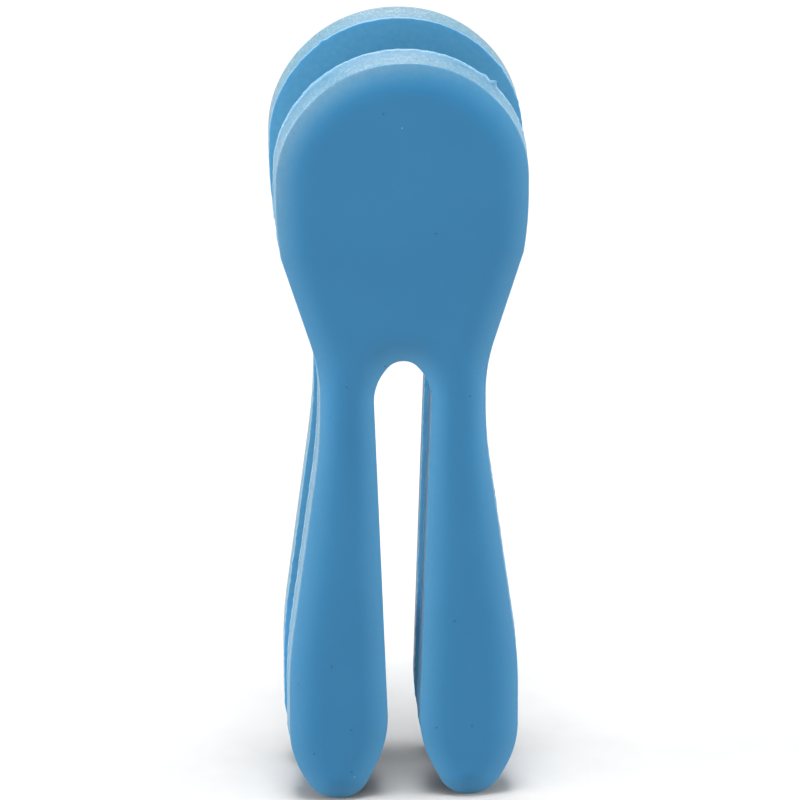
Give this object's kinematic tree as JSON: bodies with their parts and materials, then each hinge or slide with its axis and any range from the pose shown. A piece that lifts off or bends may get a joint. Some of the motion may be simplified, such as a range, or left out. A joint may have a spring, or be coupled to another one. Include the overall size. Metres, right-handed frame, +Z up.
{
  "type": "clothespin",
  "caption": "Spring clothespin with forked flat levers, round finger pads and toothed jaws, hinged on a hidden pin and held shut by a torsion spring.",
  "frame": {"origin": "middle of the footprint of the four leg tips, at their lowest point", "axes": "+Z up the levers from the leg tips to the round heads, X across the width and along the hinge pin, Y through the thickness with the front lever on -Y"},
  "size_m": [0.0248, 0.0144, 0.0808],
  "materials": {
    "lever_plastic": "moulded polypropylene, satin, mid blue",
    "pin_steel": "bright drawn steel",
    "spring_steel": "zinc plated spring wire"
  },
  "bodies": {
    "rear": {"rear_lever": "lever_plastic", "hinge_pin": "pin_steel", "torsion_spring": "spring_steel"},
    "front": {"front_lever": "lever_plastic"}
  },
  "joints": [
    {"name": "lever_hinge", "type": "hinge", "parent": "rear", "child": "front", "pos_m": [0, 0, 0.053], "axis": [-1, 0, 0], "range_deg": [0, 13], "stiffness_Nm_per_rad": 0.45, "springref_deg": -25.21, "deforming": ["torsion_spring"]}
  ]
}
